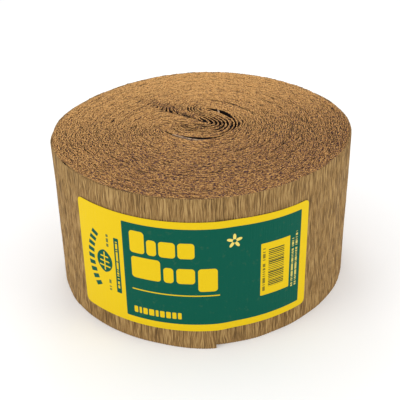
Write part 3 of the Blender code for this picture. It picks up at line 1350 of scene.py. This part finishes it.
@dataclass
class Windings:
    """The wound strip from the gap to just under the last turn, as one spiral cut into a few pieces.

    Each lap steps out to the next turn over its last part. Looseness bends the turns slowly, and crinkle
    shakes the paper from station to station. Looseness calms down near the first and the last turn, crinkle
    near the last only.
    """

    field: TurnField
    station: float = 0.45 * MM
    fewest_stations: int = 8
    step_out_from: float = 0.60
    last_share: float = 0.76
    thickness: float = 0.29 * MM
    crinkle: float = 0.125 * MM
    crinkle_kernel: tuple[float, ...] = (0.4, 0.75, 0.4)
    crinkle_mean: int = 9
    crinkle_gain: float = 1.2
    crinkle_limit: float = 1.6
    rim_crinkle: float = 0.35
    looseness: float = 0.21 * MM
    loose_waves: Ripples = Ripples(11, 48, 1.3 * MM, 2.8 * MM)
    loose_limit: float = 1.8
    back_tighter: float = 0.35
    back_from: tuple[float, float] = (-10.0 * MM, 80.0 * MM)
    settled_turns: tuple[float, float] = (3.0, 2.0)
    spacing: float = 0.61 * MM
    edge_step: float = 0.22 * MM
    edge_waves: Ripples = Ripples(14, 30, 1.8 * MM, 8.0 * MM)
    edge_shares: tuple[float, float] = (0.6, 0.5)
    lower_share: float = 0.6
    seed: int = 11
    pieces: tuple[Stretch, ...] = (
        Stretch("strip_folded", 0.0, 0.32, ("folded_windings",)),
        Stretch("strip_middle", 0.32, 0.53, ("middle_windings",)),
        Stretch("strip_outer", 0.53, 0.71, ("outer_windings",)),
        Stretch("strip_outer_b", 0.71, 0.86),
        Stretch("strip_rim", 0.86, 1.01),
    )

    def spiral(self) -> tuple[np.ndarray, np.ndarray, np.ndarray]:
        """Run the strip round every turn.

        Returns:
            Points of the strip's middle line, the turn number at each point, and the distance from half way
            round the turn.
        """
        turns, levels = self.field.turns, self.field.turn_levels()
        sides = ((self.field.trace(levels, 1.0), False), (self.field.trace(levels, -1.0), True))
        path, turn_at, lap = [], [], []
        for turn in range(turns + 1):
            halves, around, after = [], 0.0, min(turn + 1, turns)
            for lines, reverse in sides:
                length = line_length(lines[turn])
                count = max(self.fewest_stations, int(length / self.station))
                shares = np.arange(count) / count
                shares = 1.0 - shares if reverse else shares
                halves.append((resampled(lines[turn], shares), resampled(lines[after], shares)))
                around += length
            here, beyond = (np.vstack(pair) for pair in zip(*halves))
            share = np.arange(len(here)) / len(here)
            step_out = smooth_step((share - self.step_out_from) / (1.0 - self.step_out_from))[:, None]
            path.append(here * (1.0 - step_out) + beyond * step_out)
            turn_at.append(turn + share)
            lap.append((share - 0.5) * around)
        kept = np.concatenate(turn_at) < turns + self.last_share
        return np.vstack(path)[kept], np.concatenate(turn_at)[kept], np.concatenate(lap)[kept]

    def shaken(self, path: np.ndarray, turn_at: np.ndarray, flat: np.ndarray) -> np.ndarray:
        """Loosen the turns in places and crinkle the paper.

        Args:
            path: Points of the strip's middle line.
            turn_at: Turn number at each point.
            flat: The points' places on the unrolled top: way round the turn, and way out.

        Returns:
            The moved points.
        """
        to_rim = self.field.turns - turn_at
        begin, run = self.back_from
        front = 1.0 - self.back_tighter * smooth_step((path[:, 1] - begin) / run)
        settled = smooth_step(to_rim / self.settled_turns[0]) * smooth_step(turn_at / self.settled_turns[1])
        loose = self.loose_waves.at(flat * np.array([0.5, 1.0]))
        loose = np.clip(loose, -self.loose_limit, self.loose_limit)
        half = self.crinkle_mean // 2
        draw = np.random.default_rng(self.seed + 1).standard_normal(len(path) + 2 * half)
        mean = np.ones(self.crinkle_mean) / float(self.crinkle_mean) * self.crinkle_gain
        crinkle = np.convolve(draw, self.crinkle_kernel, "same") - np.convolve(draw, mean, "same")
        crinkle = np.clip(crinkle[half:-half], -self.crinkle_limit, self.crinkle_limit)
        calm = self.rim_crinkle + (1.0 - self.rim_crinkle) * smooth_step(to_rim / 0.5)
        shift = loose * self.looseness * front * settled + crinkle * self.crinkle * calm
        return path + normals_of(path) * shift[:, None]

    def edge_heights(self, turn_at: np.ndarray, flat: np.ndarray) -> np.ndarray:
        """Raise and lower the cut edges a little, partly turn by turn and partly along the paper.

        Args:
            turn_at: Turn number at each point.
            flat: The points' places on the unrolled top.

        Returns:
            Height of each point's edge over the level top.
        """
        turns = np.arange(self.field.turns + 2)
        stepped = np.random.default_rng(self.seed + 2).uniform(-1.0, 1.0, len(turns))
        along = self.edge_waves.at(flat * np.array([0.4, 1.0]))
        by_turn, by_wave = self.edge_shares
        return (np.interp(turn_at, turns, stepped) * by_turn + along * by_wave) * self.edge_step

    def build(self, finish: bpy.types.Material) -> None:
        """Make the pieces of the spiral.

        Args:
            finish: Material of the cut edges.
        """
        path, turn_at, lap = self.spiral()
        flat = np.column_stack([lap, turn_at * self.spacing])
        heights = self.edge_heights(turn_at, flat) - self.field.dents(path, turn_at)
        path = self.shaken(path, turn_at, flat)
        LOG.info("wound strip: %.1f m in %d turns", line_length(path), self.field.turns)
        top = self.field.plan.height
        for part in self.pieces:
            first, last = np.searchsorted(turn_at, np.array([part.low, part.high]) * self.field.turns)
            line, lift, chart = path[first:last], heights[first:last], flat[first:last]
            columns, tops, feet = len(line) - 1, top + lift, np.maximum(0.0, -lift) * self.lower_share

            def place(column: np.ndarray, row: np.ndarray) -> np.ndarray:
                """Stand the strip on its lower edge."""
                index = station_at(column, columns)
                return np.column_stack([line[index], np.where(row > 0.5, tops[index], feet[index])])

            def mapping(column: np.ndarray, row: np.ndarray) -> np.ndarray:
                """Way round the turn, and way out from the gap turn by turn."""
                return chart[station_at(column, columns)]

            piece = thickened(strip_sheet(part.name, columns, 1, place, mapping), self.thickness)
            finish_piece(piece, finish, part.nodes, 60.0)
            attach(piece, Body.ROLL.value)


@dataclass(frozen=True)
class Slack:
    """One slack piece: gap angles, shares of the gap's half width outwards at both ends, and its paper."""

    name: str
    angles: tuple[float, float]
    shares: tuple[float, float]
    thickness: float
    sunk: float
    node: str


@dataclass
class LooseEnds:
    """Slack paper that stands in the gap, a little below the top."""

    plan: RollPlan
    gap: MandrelGap
    sway: float = 0.12 * MM
    sways: float = 7.0
    to_degree: float = 0.9
    fewest: int = 12
    rows: int = 8
    pieces: tuple[Slack, ...] = (
        Slack("slack_turn", (-92.0, -30.0), (-0.58, 1.0472), 1.30 * MM, 0.25 * MM, "loose_turn"),
        Slack("strip_inner_end", (85.0, 96.0), (-0.85, 1.0472), 0.90 * MM, 0.30 * MM, "inner_end"),
    )

    def curve(self, slack: Slack) -> np.ndarray:
        """Run along the gap between two angles.

        Args:
            slack: The piece.

        Returns:
            Points in plan.
        """
        first, last = slack.angles
        angles = np.linspace(first, last, max(self.fewest, int(abs(last - first) * self.to_degree)))
        turn = np.radians(np.abs(angles))
        sway = self.sway * np.sin(np.radians(angles) * self.sways)
        reach = np.linspace(*slack.shares, len(angles)) * self.gap.half_width(angles) + sway
        away = np.stack([-np.cos(turn), np.sin(turn)], axis=-1)
        bend = away * (self.gap.bend + reach)[:, None]
        leg = self.gap.leg_middle() + away * (self.gap.leg + reach)[:, None]
        local = np.where((np.abs(angles) <= self.gap.bend_end)[:, None], bend, leg)
        local[:, 1] *= np.sign(angles)
        return self.gap.in_plan(local[:, 0], local[:, 1])

    def build(self, finish: bpy.types.Material) -> None:
        """Make the slack pieces.

        Args:
            finish: Material of the paper.
        """
        for slack in self.pieces:
            line = self.curve(slack)
            run, columns, top = run_along(line), len(line) - 1, self.plan.height - slack.sunk

            def place(column: np.ndarray, row: np.ndarray) -> np.ndarray:
                """Stand the paper up."""
                return np.column_stack([line[station_at(column, columns)], row * top])

            def mapping(column: np.ndarray, row: np.ndarray) -> np.ndarray:
                """Length along the paper and height."""
                return np.column_stack([run[station_at(column, columns)], row * top])

            sheet = strip_sheet(slack.name, columns, self.rows, place, mapping)
            piece = thickened(sheet, slack.thickness, 0.0)
            finish_piece(piece, finish, (slack.node,))
            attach(piece, Body.ROLL.value)


@dataclass
class SideStrip:
    """The strip's last turn and its free end, with the crepe's wrinkles in their surface."""

    plan: RollPlan
    column: float = 0.36 * MM
    rows: int = 22
    inset: float = 0.30 * MM
    wrinkle: float = 0.115 * MM
    wrinkle_limit: float = 1.7
    waves: Ripples = Ripples(5, 44, 1.0 * MM, 2.0 * MM, 4.5)
    billow: float = 0.12 * MM
    billows: Ripples = Ripples(8, 14, 22.0 * MM, 60.0 * MM, 60.0)
    ragged: float = 0.10 * MM
    rags: Ripples = Ripples(21, 30, 1.2 * MM, 9.0 * MM)
    foot: float = 0.12 * MM
    bend_run: tuple[float, float] = (0.0, 16.0)
    bend_height: float = 0.05

    def sheet(self, name: str, first: float, last: float, flared: bool) -> bpy.types.Object:
        """Make a stretch of strip on the side of the roll.

        Args:
            name: Name of the piece.
            first: Face angle where it starts.
            last: Face angle where it ends.
            flared: Whether its last lower corner stands off the roll.

        Returns:
            The closed piece.
        """
        columns = int(math.radians(last - first) * self.plan.mean_radius / self.column)

        def mapping(column: np.ndarray, row: np.ndarray) -> np.ndarray:
            """Length along the strip and height."""
            face = first + (last - first) * column
            return np.column_stack([np.radians(face) * self.plan.mean_radius, row * self.plan.height])

        def place(column: np.ndarray, row: np.ndarray) -> np.ndarray:
            """Wrap the strip round the roll.

            Args:
                column: Shares of the length.
                row: Shares of the height.

            Returns:
                Points of the strip.
            """
            face, flat = first + (last - first) * column, mapping(column, row)
            crest = np.clip(self.waves.at(flat), -self.wrinkle_limit, self.wrinkle_limit) * self.wrinkle
            slow = self.billows.at(flat) * self.billow
            out = self.plan.stand_off(face, row * self.plan.height) * float(flared)
            drop = self.plan.drop(face) + self.inset - crest - slow * (0.0 if flared else 1.0) - out
            ragged = self.rags.at(flat[:, :1] * np.array([[1.0, 0.0]])) * self.ragged
            height = row * self.plan.height + np.where(row > 0.99, ragged, 0.0)
            height = height + np.where(row < 0.01, self.foot, 0.0)
            return np.column_stack([self.plan.side(face, drop), height])

        return thickened(strip_sheet(name, columns, self.rows, place, mapping), self.plan.strip)

    def build(self, finish: bpy.types.Material) -> None:
        """Make the last turn and the free end.

        Args:
            finish: Material of the strip's face.
        """
        turn = self.sheet("side_turn", self.plan.tail_root - 360.0, self.plan.tail_root, False)
        finish_piece(turn, finish, ("last_turn",))
        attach(turn, Body.ROLL.value)
        tail = self.sheet("side_tail", self.plan.tail_root, self.plan.tail_end, True)
        finish_piece(tail, finish, ("tail_end",))
        start, end = self.plan.side_spots(self.plan.tail_root, self.bend_run, self.bend_height)
        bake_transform(tail)


@dataclass
class Label:
    """The sticker: one sheet over the free end and the turn under it.

    Past the strip's end it steps in to the turn under it, over step_run degrees. Its right part sags.
    """

    plan: RollPlan
    left: float = -49.9
    right: float = 41.8
    bottom: float = 12.5 * MM
    height: float = 75.1 * MM
    corner: float = 3.2 * MM
    thickness: float = 0.14 * MM
    stand_off: float = 0.14 * MM
    columns: int = 300
    rows: int = 60
    even_rows: float = 0.35
    step_in: float = 0.78 * MM
    step_run: float = 9.0
    ripple: float = 0.018 * MM
    ripples: Ripples = Ripples(5, 36, 1.3 * MM, 3.4 * MM, 4.5)
    sag: float = 1.5 * MM
    sag_from: tuple[float, float] = (4.0, 34.0)
    sag_foot: float = 0.3
    bend_run: tuple[float, float] = (-4.0, 10.0)
    bend_height: float = 0.05
    backing_shift: float = 1.0

    def flat(self, column: np.ndarray, row: np.ndarray) -> np.ndarray:
        """Lay the label out flat, with round corners and closer rows at its lower and upper edges.

        Args:
            column: Shares of the width.
            row: Shares of the height.

        Returns:
            Distance across from the front of the roll, and height.
        """
        radius = self.plan.mean_radius
        half = math.radians(self.right - self.left) * radius / 2.0
        middle = math.radians(self.right + self.left) * radius / 2.0
        eased = 0.5 - 0.5 * np.cos(np.pi * row)
        up = (row * self.even_rows + eased * (1.0 - self.even_rows)) * self.height
        short = np.clip(self.corner - np.minimum(up, self.height - up), 0.0, self.corner)
        inset = self.corner - np.sqrt(np.maximum(self.corner ** 2 - short ** 2, 0.0))
        across = middle + (2.0 * column - 1.0) * (half - inset)
        return np.column_stack([across, self.bottom + up])

    def wrapped(self, column: np.ndarray, row: np.ndarray) -> np.ndarray:
        """Wrap the label round the roll.

        Args:
            column: Shares of the width.
            row: Shares of the height.

        Returns:
            Points of the label.
        """
        spot = self.flat(column, row)
        face, up = np.degrees(spot[:, 0] / self.plan.mean_radius), spot[:, 1]
        over = smooth_step((face - self.plan.tail_end) / self.step_run) * self.step_in
        ripple = self.ripples.at(spot) * self.ripple
        drop = over - self.plan.stand_off(face, up) - self.stand_off - self.thickness - ripple
        tilt = self.sag_foot + (1.0 - self.sag_foot) * (up - self.bottom) / self.height
        sunk = self.sag * smooth_step((face - self.sag_from[0]) / self.sag_from[1]) * tilt
        return np.column_stack([self.plan.side(face, drop), up - sunk])

    def build(self, finish: bpy.types.Material) -> None:
        """Make the sheet.

        Args:
            finish: Printed material.
        """
        sheet = strip_sheet("label", self.columns, self.rows, self.wrapped, self.flat)
        label = thickened(sheet, self.thickness)
        self.chart_backing(label)
        finish_piece(label, finish, ("label_fixed_half", "label_peel_half"))
        start, end = self.plan.side_spots(self.plan.tail_end, self.bend_run, self.bend_height)
        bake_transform(label)

    def chart_backing(self, label: bpy.types.Object) -> None:
        """Move the gummed side's map off the print, where the finish is plain.

        Args:
            label: The closed label.
        """
        mesh = label.data
        chart, middle = mesh.uv_layers.active.data, Vector((*self.plan.centre, 0.0))
        for face in mesh.polygons:
            outwards = face.center - middle
            outwards.z = 0.0
            if face.normal.dot(outwards.normalized()) < -0.5:
                for corner in face.loop_indices:
                    chart[corner].uv.x += self.backing_shift


# ----------------------------------------------------------------------------------------------- studio


@dataclass(frozen=True)
class SoftBox:
    """One square studio lamp."""

    name: str
    place: tuple[float, float, float]
    aim: tuple[float, float, float]
    size: float
    power: float
    colour: Colour = (1.0, 1.0, 1.0)

    def build(self) -> None:
        """Hang the lamp."""
        lamp = bpy.data.lights.new(self.name, "AREA")
        lamp.shape = "SQUARE"
        lamp.size = self.size
        lamp.energy = self.power
        lamp.color = self.colour
        holder = bpy.data.objects.new(self.name, lamp)
        holder.location = self.place
        holder.rotation_euler = (Vector(self.aim) - Vector(self.place)).to_track_quat("-Z", "Y").to_euler()
        bpy.context.scene.collection.objects.link(holder)


@dataclass
class Studio:
    """White floor, soft light and the camera."""

    floor_size: float = 3.0
    near_clip: float = 0.01
    camera_place: tuple[float, float, float] = (0.0003, -0.48361, 0.32495)
    camera_aim: tuple[float, float, float] = (-0.00196, 0.0, 0.04719)
    camera_roll: float = -1.11
    lens: float = 74.6
    ambient: float = 0.95
    lamps: tuple[SoftBox, ...] = (
        SoftBox("over_back", (-0.04, 0.34, 0.48), (0.0, 0.07, 0.10), 0.22, 0.45),
        SoftBox("front_left", (-0.95, -0.55, 0.55), (0.0, 0.0, 0.05), 0.6, 3.4),
        SoftBox("front_right", (0.95, -0.45, 0.50), (0.0, 0.0, 0.05), 0.6, 2.6),
    )

    def build(self) -> None:
        """Set the studio up."""
        self.build_floor()
        for lamp in self.lamps:
            lamp.build()
        world = bpy.data.worlds.new("studio")
        world.use_nodes = True
        background = world.node_tree.nodes["Background"]
        background.inputs["Color"].default_value = (1.0, 1.0, 1.0, 1.0)
        background.inputs["Strength"].default_value = self.ambient
        bpy.context.scene.world = world
        bpy.context.scene.view_settings.view_transform = "Standard"
        self.build_camera()

    def build_floor(self) -> None:
        """Lay the floor."""
        flat = bmesh.new()
        bmesh.ops.create_grid(flat, x_segments=4, y_segments=4, size=self.floor_size)
        mesh = bpy.data.meshes.new("floor")
        flat.to_mesh(mesh)
        flat.free()
        mesh.materials.append(PaleFloor().build())
        floor = bpy.data.objects.new("floor", mesh)
        bpy.context.scene.collection.objects.link(floor)

    def build_camera(self) -> None:
        """Stand the camera where the roll is seen from the front and above."""
        view = bpy.data.cameras.new("camera")
        view.lens = self.lens
        view.clip_start = self.near_clip
        camera = bpy.data.objects.new("camera", view)
        look = (Vector(self.camera_aim) - Vector(self.camera_place)).to_track_quat("-Z", "Y").to_matrix()
        turned = look @ Matrix.Rotation(math.radians(self.camera_roll), 3, "Z")
        camera.matrix_world = Matrix.Translation(self.camera_place) @ turned.to_4x4()
        bpy.context.scene.collection.objects.link(camera)
        bpy.context.scene.camera = camera


def main() -> None:
    """Build the roll and its studio."""
    logging.basicConfig(level=logging.INFO, format="%(name)s: %(message)s")
    plan = RollPlan(height=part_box("last_turn")[1].z)
    gap = MandrelGap()
    Studio().build()
    edges, face = CutEdges(plan.height).build(), CrepedKraft().build()
    Windings(TurnField(plan, gap)).build(edges)
    # The slack paper's finish is a greyer, darker copy of the cut edges, as painted shade for paper standing
    # in the gap. Its painted shade runs from 0.9 mm to 2.4 mm in from the roll's top and bottom.
    slack = CutEdges(plan.height, "slack_edges", body=(0.270, 0.165, 0.090), crest=(0.430, 0.300, 0.190),
                     shade_from=0.9 * MM, shade_to=2.4 * MM)
    LooseEnds(plan, gap).build(slack.build())
    SideStrip(plan).build(face)
    Label(plan).build(LabelPrint().build())


if __name__ == "__main__":
    main()
